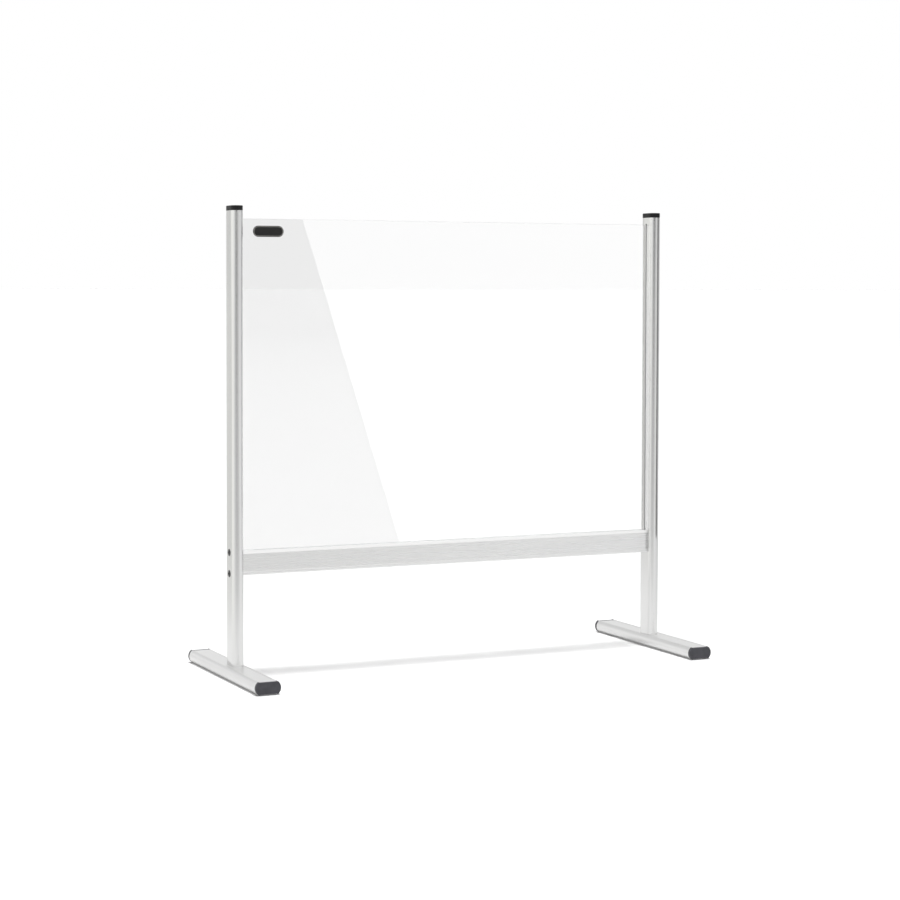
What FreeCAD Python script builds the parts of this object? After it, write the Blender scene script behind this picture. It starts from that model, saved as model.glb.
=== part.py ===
import FreeCAD, Part
import os
import re

import Sketcher

# A free-standing counter screen: a clear panel held between two aluminium posts above a cross rail,
# with a gap under the rail to pass things through. Each post stands on a long flat foot.
#
# Frame: origin on the table, midway between the feet; +X to the right, -Y to the front, +Z up.
# A post and its foot are drawn once, with the panel towards +X, and the right-hand pair is turned
# half a turn about Z.

SIZES = {
    # whole screen
    "overall_width": 950,       # over the outer faces of the posts
    "overall_height": 915,      # table to the top of the post caps
    # posts: extruded, flat sides with full-round front and back
    "post_width": 24,
    "post_depth": 48,
    "post_wall": 1.8,
    "web_wall": 1.6,            # the two webs either side of the panel channel
    "web_root": 0.5,            # how far the webs run into the post's walls
    "channel_floor": 7.9,       # depth of the panel channel behind the inner wall
    "chamber_depth": 11,        # closed chamber behind the panel channel, from the outer wall
    "port_spread": 13,          # screw ports, in front of and behind the middle
    "port_bore": 5.5,           # takes an M6 thread-forming bolt
    "port_wall": 2.6,
    "cap_height": 10,
    "cap_edge": 1.2,
    "cap_plug": 14,             # how far the cap's legs reach into the post
    "cap_leg_width": 8,
    "cap_leg_depth": 8.5,
    "cap_leg_gap": 0.5,         # between a leg and the web beside it
    "cap_leg_start": 1.2,       # from the post's middle to a leg, clear of the screw ports
    # feet: extruded, round edges, a shallow channel above and below
    "foot_length": 400,         # over the end caps
    "foot_width": 50,
    "foot_height": 25,
    "foot_wall": 2.2,
    "foot_offset": 5,           # the foot's centre line is this far outside the post's
    "foot_channel": 36,         # between the crests of its lips
    "foot_channel_depth": 1.3,
    "foot_channel_slope": 0.9,
    "foot_shoulder": 0.6,       # rounding of the channel's lips
    "foot_rib": 2,
    "foot_rib_spacing": 18,
    "end_cap_length": 8,
    "end_cap_edge": 1.5,
    "end_cap_plug": 14,
    "end_cap_leg_width": 8,
    "end_cap_leg_height": 15,
    "end_cap_leg_gap": 0.3,     # between a leg and the rib beside it
    # anti-slip pads, stuck in the channel under each foot
    "pad_width": 26,
    "pad_length": 60,
    "pad_spread": 150,
    "ground_gap": 1,            # how far the pads hold the foot off the table
    # rail: extruded, same lips above and below, front and back
    "rail_bottom": 200.5,
    "rail_height": 47,
    "rail_depth": 23,
    "rail_lip": 6.5,
    "rail_recess": 1.5,
    "rail_wall": 1.8,
    "rail_edge": 0.8,
    "glazing_depth": 11,
    "screw_channel_depth": 6.5,
    # panel and its seals
    "panel_top": 890,
    "panel_thickness": 4,
    "panel_insert": 7.5,        # how far the panel enters each post
    "slot_width": 5.5,
    "notch_length": 30,         # bottom corners, cut away over the rail screws
    "notch_gap": 0.2,
    "seal_wall": 0.75,
    "slot_end_gap": 1.5,
    # rail screws: M6 x 45 with a wide low head, through the post into the rail's end
    "rail_screw_spacing": 41,
    "rail_screw_grip": 21,
    "rail_head_width": 14,
    "rail_head_height": 1.6,
    "rail_dome_top": 8,         # across the head's flat top, and where it meets the flange
    "rail_dome_foot": 12,
    "rail_flange": 0.6,
    "rail_key": 4,
    "rail_key_depth": 1.3,
    "clearance_hole": 6.6,
    # foot bolts: M6 x 24 cap heads, up through the foot into the post's screw ports
    "foot_bolt_grip": 20,
    "foot_head_width": 10,
    "foot_head_height": 6,
    "foot_key": 5,
    "foot_key_depth": 3,
    "washer_width": 12,
    "washer_thickness": 1.6,
    "access_hole": 13,
    # plain badge, stuck on the front of the panel
    "badge_width": 63,
    "badge_height": 21.5,
    "badge_thickness": 0.6,
    "badge_inset": 25,          # from the post's inner face
    "badge_drop": 13.5,         # below the panel's top edge
    # worked out from the sizes above
    "post_centre": "=overall_width / 2 - post_width / 2",
    "inner_face": "=overall_width / 2 - post_width",
    "post_base": "=ground_gap + foot_height - foot_channel_depth",
    "post_length": "=overall_height - cap_height - post_base",
    "foot_centre": "=post_centre + foot_offset",
    "foot_half_height": "=foot_height / 2",
    "foot_round": "=((foot_width / 2 - foot_channel / 2)^2 + foot_half_height^2)"
                  " / (foot_width - foot_channel)",
    "channel_level": "=foot_half_height - foot_channel_depth",
    "chamber_level": "=channel_level - foot_wall",
    "chamber_round": "=foot_round - foot_wall",
    "chamber_reach": "=foot_width / 2 - foot_round + sqrt(chamber_round^2 - chamber_level^2)",
    "rail_top": "=rail_bottom + rail_height",
    "rail_middle": "=rail_bottom + rail_height / 2",
    "slot_floor": "=rail_top - glazing_depth",
    "panel_bottom": "=slot_floor + seal_wall",
    "panel_half": "=inner_face + panel_insert",
    "notch_start": "=inner_face - notch_length",
    "notch_top": "=rail_top - notch_gap",
    "seal_outer": "=panel_insert + seal_wall",
    "thread_radius": "=port_bore / 2",
}

doc = FreeCAD.newDocument("CounterScreen")
sheet = doc.addObject("Spreadsheet::Sheet", "Sizes")
for row, (alias, value) in enumerate(SIZES.items(), start=1):
    sheet.set(f"A{row}", alias.replace("_", " "))
    sheet.set(f"B{row}", str(value))
    sheet.setAlias(f"B{row}", alias)
doc.recompute()

ORIGIN = (-1, 1)        # a sketch's own origin, as geometry and point numbers
X_AXIS = -1
Y_AXIS = -2
START, END, CENTRE = 1, 2, 3
parts = []


def cell(expression):
    """The expression with each word that is a size's alias pointed at the sheet."""
    return re.sub(
        r"[a-z][a-z_]*", lambda found: f"Sizes.{found[0]}" if found[0] in SIZES else found[0], expression
    )


def number(expression):
    """The expression's present value in millimetres."""
    return sheet.evalExpression(expression)


def bind(thing, name, expression):
    """Ties one property of an object to the sheet."""
    thing.setExpression(name, cell(expression))


def body(name, x="0", y="0", z="0", turned=False):
    """A new PartDesign body standing at x, y, z, turned half a turn about Z if it is a right-hand one."""
    made = doc.addObject("PartDesign::Body", name)
    made.Label = name
    angle = 180 if turned else 0
    made.Placement = FreeCAD.Placement(FreeCAD.Vector(), FreeCAD.Rotation(FreeCAD.Vector(0, 0, 1), angle))
    for axis, place in (("x", x), ("y", y), ("z", z)):
        bind(made, f"Placement.Base.{axis}", place)
    parts.append(made)
    return made


def sketch(owner, name, plane="XY_Plane", offset="0"):
    """An empty sketch on one of the body's own planes, moved along the plane's normal by offset."""
    made = owner.newObject("Sketcher::SketchObject", name)
    support = [item for item in owner.Origin.OriginFeatures if item.Role == plane][0]
    made.AttachmentSupport = [(support, "")]
    made.MapMode = "FlatFace"
    bind(made, "AttachmentOffset.Base.z", offset)
    return made


def hold(target, kind, geometry, point, expression):
    """Holds one coordinate of a sketch point at a distance from the origin."""
    value = number(expression)
    if abs(value) < 1e-9:
        axis = Y_AXIS if kind == "DistanceX" else X_AXIS
        target.addConstraint(Sketcher.Constraint("PointOnObject", geometry, point, axis))
        return
    index = target.addConstraint(Sketcher.Constraint(kind, *ORIGIN, geometry, point, value))
    target.setExpression(f"Constraints[{index}]", cell(expression))


def outline(target, corners):
    """Adds a closed outline to a sketch. Each corner is (x, y), or (x, y, radius) where an
    anticlockwise arc leaves it for the next corner."""
    first = target.GeometryCount
    count = len(corners)
    points = [FreeCAD.Vector(number(corner[0]), number(corner[1]), 0) for corner in corners]
    for index, corner in enumerate(corners):
        here, there = points[index], points[(index + 1) % count]
        if len(corner) == 2:
            target.addGeometry(Part.LineSegment(here, there), False)
            continue
        radius = number(corner[2])
        half = (there - here) / 2
        outward = FreeCAD.Vector(half.y, -half.x, 0).normalize()
        rise = radius - (radius**2 - half.Length**2) ** 0.5
        target.addGeometry(Part.Arc(here, here + half + outward * rise, there), False)
    for index, corner in enumerate(corners):
        geometry = first + index
        following = first + (index + 1) % count
        target.addConstraint(Sketcher.Constraint("Coincident", geometry, END, following, START))
        hold(target, "DistanceX", geometry, START, corner[0])
        hold(target, "DistanceY", geometry, START, corner[1])
        if len(corner) == 3:
            ring = target.addConstraint(
                Sketcher.Constraint("Radius", geometry, number(corner[2]))
            )
            target.setExpression(f"Constraints[{ring}]", cell(corner[2]))


def rectangle(target, low, high):
    """Adds a rectangle from its low corner (x, y) to its high corner (x, y)."""
    outline(target, [(low[0], low[1]), (high[0], low[1]), (high[0], high[1]), (low[0], high[1])])


def circle(target, x, y, radius):
    """Adds a circle to a sketch."""
    centre = FreeCAD.Vector(number(x), number(y), 0)
    ring = target.addGeometry(Part.Circle(centre, FreeCAD.Vector(0, 0, 1), number(radius)), False)
    hold(target, "DistanceX", ring, CENTRE, x)
    hold(target, "DistanceY", ring, CENTRE, y)
    index = target.addConstraint(Sketcher.Constraint("Radius", ring, number(radius)))
    target.setExpression(f"Constraints[{index}]", cell(radius))


def stadium(target, radius, run, along_x=False):
    """Adds a slot-shaped outline about the origin: two half circles whose centres lie run to
    either side, joined by straight lines."""
    r, a = number(radius), number(run)
    first = target.GeometryCount

    def at(u, v):
        """A point given along and across the outline's own length."""
        return FreeCAD.Vector(u, v, 0) if along_x else FreeCAD.Vector(-v, u, 0)

    for piece in (
        Part.Arc(at(a, -r), at(a + r, 0), at(a, r)),
        Part.LineSegment(at(a, r), at(-a, r)),
        Part.Arc(at(-a, r), at(-a - r, 0), at(-a, -r)),
        Part.LineSegment(at(-a, -r), at(a, -r)),
    ):
        target.addGeometry(piece, False)
    for index in range(4):
        here, following = first + index, first + (index + 1) % 4
        target.addConstraint(Sketcher.Constraint("Tangent", here, END, following, START))
    target.addConstraint(Sketcher.Constraint("Equal", first, first + 2))
    for arc, reach in ((first, run), (first + 2, f"-( {run} )")):
        hold(target, "DistanceX", arc, CENTRE, reach if along_x else "0")
        hold(target, "DistanceY", arc, CENTRE, "0" if along_x else reach)
    index = target.addConstraint(Sketcher.Constraint("Radius", first, r))
    target.setExpression(f"Constraints[{index}]", cell(radius))


def pad(owner, name, profile, length, reverse=False):
    """Extrudes a sketch; it has to add material."""
    made = owner.newObject("PartDesign::Pad", name)
    made.Profile = profile
    made.Reversed = reverse
    bind(made, "Length", length)
    doc.recompute()
    return made


def pocket(owner, name, profile, length=None, reverse=False):
    """Cuts a sketch into the body, through everything if it has no length; it has to remove material."""
    before = owner.Shape.Volume
    made = owner.newObject("PartDesign::Pocket", name)
    made.Profile = profile
    made.Reversed = reverse
    if length is None:
        made.Type = "ThroughAll"
    else:
        bind(made, "Length", length)
    doc.recompute()
    if not owner.Shape.Volume < before - 1:
        raise RuntimeError(f"{owner.Label}: {name} cuts nothing")
    return made


def soften(owner, name, radius, wanted):
    """Rounds every edge of the body for which wanted(edge) is true."""
    tip = owner.Tip
    names = [f"Edge{i}" for i, edge in enumerate(tip.Shape.Edges, start=1) if wanted(edge)]
    made = owner.newObject("PartDesign::Fillet", name)
    made.Base = (tip, names)
    bind(made, "Radius", radius)
    doc.recompute()
    return made


def primitive(kind, name, **sizes):
    """A Part primitive with its sizes tied to the sheet."""
    made = doc.addObject(kind, name)
    for key, expression in sizes.items():
        bind(made, key, expression)
    return made


def place(thing, x="0", y="0", z="0", rotation=None):
    """Stands a Part object at x, y, z, with an optional rotation."""
    thing.Placement = FreeCAD.Placement(FreeCAD.Vector(), rotation or FreeCAD.Rotation())
    for axis, where in (("x", x), ("y", y), ("z", z)):
        bind(thing, f"Placement.Base.{axis}", where)
    return thing


def group(name, members):
    """A sub-part made of several like solids."""
    made = doc.addObject("Part::Compound", name)
    made.Label = name
    made.Links = members
    parts.append(made)
    return made


# ---------------------------------------------------------------- posts and their caps


def make_post(side, sign, turned):
    """Extruded post: a stadium tube with a panel channel, a closed chamber and two screw ports."""
    made = body(f"{side}_post", x=f"{sign} * post_centre", z="post_base", turned=turned)

    section = sketch(made, f"{side}_post_section")
    stadium(section, "post_width / 2", "post_depth / 2 - post_width / 2")
    stadium(section, "post_width / 2 - post_wall", "post_depth / 2 - post_width / 2")
    pad(made, f"{side}_post_tube", section, "post_length")

    web = sketch(made, f"{side}_post_web_section")
    half = "slot_width / 2"
    outer = "( slot_width / 2 + web_wall )"
    middle = "( post_width / 2 - post_wall )"
    rectangle(web, (f"-{middle} - web_root", f"-{outer}"), (f"{middle} + web_root", outer))
    rectangle(web, (f"{middle} - channel_floor", f"-{half}"), (middle, half))
    rectangle(web, (f"-{middle}", f"-{half}"), (f"-{middle} + chamber_depth", half))
    pad(made, f"{side}_post_webs", web, "post_length")

    ports = sketch(made, f"{side}_post_port_section")
    for way in ("-", ""):
        circle(ports, "-foot_offset", f"{way}port_spread", "port_bore / 2 + port_wall")
        circle(ports, "-foot_offset", f"{way}port_spread", "port_bore / 2")
    pad(made, f"{side}_post_ports", ports, "post_length")

    slot = sketch(made, f"{side}_post_slot_outline", "YZ_Plane", "post_width / 2")
    rectangle(
        slot,
        ("-slot_width / 2", "rail_top - slot_end_gap - post_base"),
        ("slot_width / 2", "panel_top + slot_end_gap - post_base"),
    )
    pocket(made, f"{side}_post_slot", slot, "post_wall")

    holes = sketch(made, f"{side}_post_hole_outline", "YZ_Plane", "post_width / 2")
    for way in ("-", "+"):
        circle(
            holes, "0", f"rail_middle {way} rail_screw_spacing / 2 - post_base", "clearance_hole / 2"
        )
    pocket(made, f"{side}_post_holes", holes)
    return made


def make_post_cap(side, sign, turned):
    """Moulded cap: a flange the shape of the post with two legs that wedge in its chambers."""
    made = body(
        f"{side}_post_cap", x=f"{sign} * post_centre", z="post_base + post_length", turned=turned
    )
    flange = sketch(made, f"{side}_post_cap_outline")
    stadium(flange, "post_width / 2", "post_depth / 2 - post_width / 2")
    pad(made, f"{side}_post_cap_flange", flange, "cap_height")
    top = number("cap_height")
    soften(
        made, f"{side}_post_cap_edge", "cap_edge", lambda edge: edge.BoundBox.ZMin > top - 1e-6
    )
    legs = sketch(made, f"{side}_post_cap_leg_outline")
    near = "( slot_width / 2 + web_wall + cap_leg_gap )"
    for low, high in ((f"-{near} - cap_leg_depth", f"-{near}"), (near, f"{near} + cap_leg_depth")):
        rectangle(legs, ("cap_leg_start", low), ("cap_leg_start + cap_leg_width", high))
    pad(made, f"{side}_post_cap_legs", legs, "cap_plug", reverse=True)
    return made


# ---------------------------------------------------------------- feet, end caps and pads


def foot_outline(target):
    """The foot's section: round sides, and a shallow channel above and below."""
    edge = "foot_channel / 2"
    outline(
        target,
        [
            (edge, "-foot_half_height", "foot_round"),
            (edge, "foot_half_height"),
            (f"{edge} - foot_channel_slope", "channel_level"),
            (f"-{edge} + foot_channel_slope", "channel_level"),
            (f"-{edge}", "foot_half_height", "foot_round"),
            (f"-{edge}", "-foot_half_height"),
            (f"-{edge} + foot_channel_slope", "-channel_level"),
            (f"{edge} - foot_channel_slope", "-channel_level"),
        ],
    )


def is_shoulder(edge):
    """True for the four lips where a foot's round side meets a channel."""
    box = edge.BoundBox
    crest = number("foot_half_height")
    along = box.YLength > number("end_cap_length") - 0.01
    return along and box.ZLength < 1e-6 and abs(abs(box.ZMin) - crest) < 1e-6


def make_foot(side, sign, turned):
    """Extruded foot with three chambers, drilled for the two bolts."""
    made = body(
        f"{side}_foot",
        x=f"{sign} * foot_centre",
        z="ground_gap + foot_half_height",
        turned=turned,
    )
    run = "foot_length - 2 * end_cap_length"
    section = sketch(made, f"{side}_foot_section", "XZ_Plane", "-foot_length / 2 + end_cap_length")
    foot_outline(section)
    pad(made, f"{side}_foot_bar", section, run)
    soften(made, f"{side}_foot_lips", "foot_shoulder", is_shoulder)

    hollow = sketch(made, f"{side}_foot_hollow", "XZ_Plane", "foot_length / 2 - end_cap_length")
    rib = "( foot_rib_spacing / 2 )"
    near, far, level = f"( {rib} + foot_rib )", "chamber_reach", "chamber_level"
    rectangle(hollow, (f"-{rib}", f"-{level}"), (rib, level))
    outline(
        hollow,
        [(near, f"-{level}"), (far, f"-{level}", "chamber_round"), (far, level), (near, level)],
    )
    outline(
        hollow,
        [
            (f"-{near}", level),
            (f"-{far}", level, "chamber_round"),
            (f"-{far}", f"-{level}"),
            (f"-{near}", f"-{level}"),
        ],
    )
    pocket(made, f"{side}_foot_chambers", hollow)

    holes = sketch(made, f"{side}_foot_bolt_holes", "XY_Plane", "foot_half_height")
    access = sketch(made, f"{side}_foot_access_holes", "XY_Plane", "-foot_half_height")
    for way in ("-", ""):
        circle(holes, "0", f"{way}port_spread", "clearance_hole / 2")
        circle(access, "0", f"{way}port_spread", "access_hole / 2")
    pocket(made, f"{side}_foot_bolt_drilling", holes, "foot_half_height")
    pocket(made, f"{side}_foot_access_drilling", access, "foot_half_height", reverse=True)
    return made


def make_end_cap(side, sign, end, way):
    """Moulded end cap: a flange the shape of the foot's section, with two legs inside it."""
    made = body(
        f"{side}_foot_{end}_cap",
        x=f"{sign} * foot_centre",
        y=f"{way} * ( foot_length / 2 - end_cap_length )",
        z="ground_gap + foot_half_height",
        turned=way > 0,
    )
    flange = sketch(made, f"{side}_{end}_cap_outline", "XZ_Plane")
    foot_outline(flange)
    pad(made, f"{side}_{end}_cap_flange", flange, "end_cap_length")
    soften(made, f"{side}_{end}_cap_lips", "foot_shoulder", is_shoulder)
    face = -number("end_cap_length")
    soften(
        made, f"{side}_{end}_cap_edge", "end_cap_edge", lambda edge: edge.BoundBox.YMax < face + 1e-6
    )
    legs = sketch(made, f"{side}_{end}_cap_leg_outline", "XZ_Plane")
    near = "( foot_rib_spacing / 2 + foot_rib + end_cap_leg_gap )"
    tall = "end_cap_leg_height / 2"
    for low, high in (
        (f"-{near} - end_cap_leg_width", f"-{near}"),
        (near, f"{near} + end_cap_leg_width"),
    ):
        rectangle(legs, (low, f"-{tall}"), (high, tall))
    pad(made, f"{side}_{end}_cap_legs", legs, "end_cap_plug", reverse=True)
    return made


def make_pads(side, sign):
    """Two rubber pads stuck in the foot's lower channel."""
    strips = []
    for index, way in enumerate((-1, 1), start=1):
        bar = primitive(
            "Part::Box",
            f"{side}_pad_bar_{index}",
            Length="pad_width",
            Width="pad_length - pad_width",
            Height="ground_gap + foot_channel_depth",
        )
        middle = f"{way} * pad_spread"
        place(bar, f"{sign} * foot_centre - pad_width / 2", f"{middle} - pad_length / 2 + pad_width / 2")
        rounds = []
        for end in (-1, 1):
            disc = primitive(
                "Part::Cylinder",
                f"{side}_pad_end_{index}_{'front' if end < 0 else 'rear'}",
                Radius="pad_width / 2",
                Height="ground_gap + foot_channel_depth",
            )
            reach = f"{end} * ( pad_length / 2 - pad_width / 2 )"
            rounds.append(place(disc, f"{sign} * foot_centre", f"{middle} + {reach}"))
        strip = doc.addObject("Part::MultiFuse", f"{side}_pad_{index}")
        strip.Shapes = [bar, *rounds]
        strip.Refine = True
        strips.append(strip)
    return group(f"{side}_foot_pads", strips)


# ---------------------------------------------------------------- rail, panel and seals


def make_rail():
    """Extruded rail: lips front and back, the panel's slot on top and a screw channel below."""
    made = body("bottom_rail", z="rail_middle")
    run = "inner_face * 2"
    section = sketch(made, "rail_section", "YZ_Plane", "-inner_face")
    deep, tall = "rail_depth / 2", "( rail_height / 2 )"
    step = f"{tall} - rail_lip"
    slot = "slot_width / 2"
    outline(
        section,
        [
            (deep, f"-{tall}"),
            (deep, f"-( {step} )"),
            (f"{deep} - rail_recess", f"-( {step} )"),
            (f"{deep} - rail_recess", step),
            (deep, step),
            (deep, tall),
            (slot, tall),
            (slot, f"{tall} - glazing_depth"),
            (f"-{slot}", f"{tall} - glazing_depth"),
            (f"-{slot}", tall),
            (f"-{deep}", tall),
            (f"-{deep}", step),
            (f"-{deep} + rail_recess", step),
            (f"-{deep} + rail_recess", f"-( {step} )"),
            (f"-{deep}", f"-( {step} )"),
            (f"-{deep}", f"-{tall}"),
            (f"-{slot}", f"-{tall}"),
            (f"-{slot}", f"-{tall} + screw_channel_depth"),
            (slot, f"-{tall} + screw_channel_depth"),
            (slot, f"-{tall}"),
        ],
    )
    side = f"{deep} - rail_recess - rail_wall"
    rectangle(
        section,
        (f"-( {side} )", f"-{tall} + screw_channel_depth + rail_wall"),
        (side, f"{tall} - glazing_depth - rail_wall"),
    )
    pad(made, "rail_bar", section, run)
    front = number("rail_depth / 2")

    def is_lip(edge):
        """True for the long edges on the outer faces of the four lips."""
        box = edge.BoundBox
        return box.XLength > number(run) - 0.01 and abs(abs(box.YMin) - front) < 1e-6

    soften(made, "rail_lips", "rail_edge", is_lip)
    return made


def make_panel():
    """Clear panel, its bottom corners notched over the upper rail screws."""
    made = body("screen_panel")
    face = sketch(made, "panel_outline", "XZ_Plane", "-panel_thickness / 2")
    outline(
        face,
        [
            ("-notch_start", "panel_bottom"),
            ("notch_start", "panel_bottom"),
            ("notch_start", "notch_top"),
            ("panel_half", "notch_top"),
            ("panel_half", "panel_top"),
            ("-panel_half", "panel_top"),
            ("-panel_half", "notch_top"),
            ("-notch_start", "notch_top"),
        ],
    )
    pad(made, "panel_sheet", face, "panel_thickness")
    return made


def seal_outline(target, low, high, floor):
    """A U-shaped seal round the panel's edge; the panel comes in from +x, to floor."""
    half, inner = "slot_width / 2", "panel_thickness / 2"
    outline(
        target,
        [
            (low, f"-{half}"),
            (high, f"-{half}"),
            (high, f"-{inner}"),
            (floor, f"-{inner}"),
            (floor, inner),
            (high, inner),
            (high, half),
            (low, half),
        ],
    )


def make_post_seal(side, sign, turned):
    """Soft seal between the panel's upright edge and the post's channel."""
    made = body(f"{side}_slot_seal", x=f"{sign} * inner_face", z="rail_top", turned=turned)
    section = sketch(made, f"{side}_seal_section")
    seal_outline(section, "-seal_outer", "seal_wall / 2", "-panel_insert")
    pad(made, f"{side}_seal_strip", section, "panel_top - rail_top")
    return made


def make_rail_seal():
    """Soft seal between the panel's bottom edge and the rail's slot."""
    made = body("rail_slot_seal", z="slot_floor")
    section = sketch(made, "rail_seal_section", "YZ_Plane", "-notch_start")
    half, inner, top = "slot_width / 2", "panel_thickness / 2", "glazing_depth + seal_wall / 2"
    outline(
        section,
        [
            (f"-{half}", "0"),
            (half, "0"),
            (half, top),
            (inner, top),
            (inner, "seal_wall"),
            (f"-{inner}", "seal_wall"),
            (f"-{inner}", top),
            (f"-{half}", top),
        ],
    )
    pad(made, "rail_seal_strip", section, "notch_start * 2")
    return made


# ---------------------------------------------------------------- fasteners and badge


def low_head_screw(name, x, z, turned):
    """Screw with a wide low head, lying along X, its head towards -X unless it is turned."""
    shank = primitive(
        "Part::Cylinder", f"{name}_shank", Radius="thread_radius", Height="post_width + rail_screw_grip"
    )
    flange = primitive(
        "Part::Cylinder", f"{name}_flange", Radius="rail_head_width / 2", Height="rail_flange"
    )
    place(flange, z="-rail_flange")
    dome = primitive(
        "Part::Cone",
        f"{name}_dome",
        Radius1="rail_dome_top / 2",
        Radius2="rail_dome_foot / 2",
        Height="rail_head_height - rail_flange",
    )
    place(dome, z="-rail_head_height")
    blank = doc.addObject("Part::MultiFuse", f"{name}_blank")
    blank.Shapes = [shank, flange, dome]
    doc.recompute()
    crest = number("rail_head_height")
    rise = number("rail_head_height - rail_flange")
    rounded = doc.addObject("Part::Fillet", f"{name}_rounded")
    rounded.Base = blank
    edges = []
    for index, edge in enumerate(blank.Shape.Edges, start=1):
        box = edge.BoundBox
        if box.ZMax < -crest + 1e-6 and box.XLength > rise:
            edges.append((index, rise / 2, rise / 2))
    rounded.Edges = edges
    key = primitive(
        "Part::Prism", f"{name}_key", Circumradius="rail_key / 2 / cos( 30 deg )", Height="rail_key_depth"
    )
    place(key, z="-rail_head_height")
    screw = doc.addObject("Part::Cut", name)
    screw.Base = rounded
    screw.Tool = key
    swing = FreeCAD.Rotation(FreeCAD.Vector(0, 1, 0), -90 if turned else 90)
    return place(screw, x, "0", z, swing)


def make_rail_screws(side, sign, turned):
    """The two screws that hold one end of the rail to its post."""
    screws = []
    for index, way in enumerate(("-", "+"), start=1):
        screws.append(
            low_head_screw(
                f"{side}_rail_screw_{index}",
                f"{sign} * overall_width / 2",
                f"rail_middle {way} rail_screw_spacing / 2",
                turned,
            )
        )
    return group(f"{side}_rail_screws", screws)


def cap_screw(name, x, y):
    """Socket cap screw standing upright, its head inside the foot under a washer."""
    shank = primitive(
        "Part::Cylinder",
        f"{name}_shank",
        Radius="thread_radius",
        Height="foot_bolt_grip + foot_wall + washer_thickness",
    )
    head = primitive(
        "Part::Cylinder", f"{name}_head", Radius="foot_head_width / 2", Height="foot_head_height"
    )
    place(head, z="-foot_head_height")
    blank = doc.addObject("Part::MultiFuse", f"{name}_blank")
    blank.Shapes = [shank, head]
    key = primitive(
        "Part::Prism", f"{name}_key", Circumradius="foot_key / 2 / cos( 30 deg )", Height="foot_key_depth"
    )
    place(key, z="-foot_head_height")
    screw = doc.addObject("Part::Cut", name)
    screw.Base = blank
    screw.Tool = key
    return place(screw, x, y, "post_base - foot_wall - washer_thickness")


def washer(name, x, y):
    """Plain washer between a foot bolt's head and the foot's upper wall."""
    disc = primitive(
        "Part::Cylinder", f"{name}_disc", Radius="washer_width / 2", Height="washer_thickness"
    )
    hole = primitive(
        "Part::Cylinder", f"{name}_hole", Radius="clearance_hole / 2", Height="washer_thickness"
    )
    ring = doc.addObject("Part::Cut", name)
    ring.Base = disc
    ring.Tool = hole
    return place(ring, x, y, "post_base - foot_wall - washer_thickness")


def make_foot_fixings(side, sign):
    """The two bolts that hold a post to its foot, and their washers."""
    bolts, washers = [], []
    for index, way in enumerate(("-", ""), start=1):
        spot = (f"{sign} * foot_centre", f"{way}port_spread")
        bolts.append(cap_screw(f"{side}_foot_bolt_{index}", *spot))
        washers.append(washer(f"{side}_foot_washer_{index}", *spot))
    return group(f"{side}_foot_bolts", bolts), group(f"{side}_foot_washers", washers)


def make_badge():
    """Plain slot-shaped badge on the front of the panel, at its top left corner."""
    made = body(
        "corner_badge",
        x="-inner_face + badge_inset + badge_width / 2",
        y="-panel_thickness / 2",
        z="panel_top - badge_drop - badge_height / 2",
    )
    shape = sketch(made, "badge_outline", "XZ_Plane")
    stadium(shape, "badge_height / 2", "badge_width / 2 - badge_height / 2", along_x=True)
    pad(made, "badge_plate", shape, "badge_thickness")
    return made


for side, sign, turned in (("left", -1, False), ("right", 1, True)):
    make_post(side, sign, turned)
    make_post_cap(side, sign, turned)
    make_foot(side, sign, turned)
    for end, way in (("front", -1), ("rear", 1)):
        make_end_cap(side, sign, end, way)
    make_pads(side, sign)
    make_post_seal(side, sign, turned)
    make_rail_screws(side, sign, turned)
    make_foot_fixings(side, sign)
make_rail()
make_panel()
make_rail_seal()
make_badge()
doc.recompute()

# ---------------------------------------------------------------- check and write

for item in doc.Objects:
    if {"Invalid", "Error"} & set(item.State):
        raise RuntimeError(f"{item.Label} did not recompute: {item.State}")
os.makedirs("parts", exist_ok=True)
for item in parts:
    shape = item.Shape
    if shape.isNull() or not shape.isValid() or not shape.Solids:
        raise RuntimeError(f"{item.Label} has no valid solid")
for item in parts:
    item.Shape.exportStep(f"parts/{item.Label}.step")
    box = item.Shape.BoundBox
    print(
        f"{item.Label}: {len(item.Shape.Solids)} solid, {item.Shape.Volume / 1000:.2f} cm3, "
        f"x {box.XMin:.1f} to {box.XMax:.1f}, y {box.YMin:.1f} to {box.YMax:.1f}, "
        f"z {box.ZMin:.1f} to {box.ZMax:.1f}"
    )
print(f"{len(parts)} sub-parts written")
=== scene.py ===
"""Free-standing counter screen: a clear acrylic panel held by two aluminium posts on flat feet."""

import math

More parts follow.
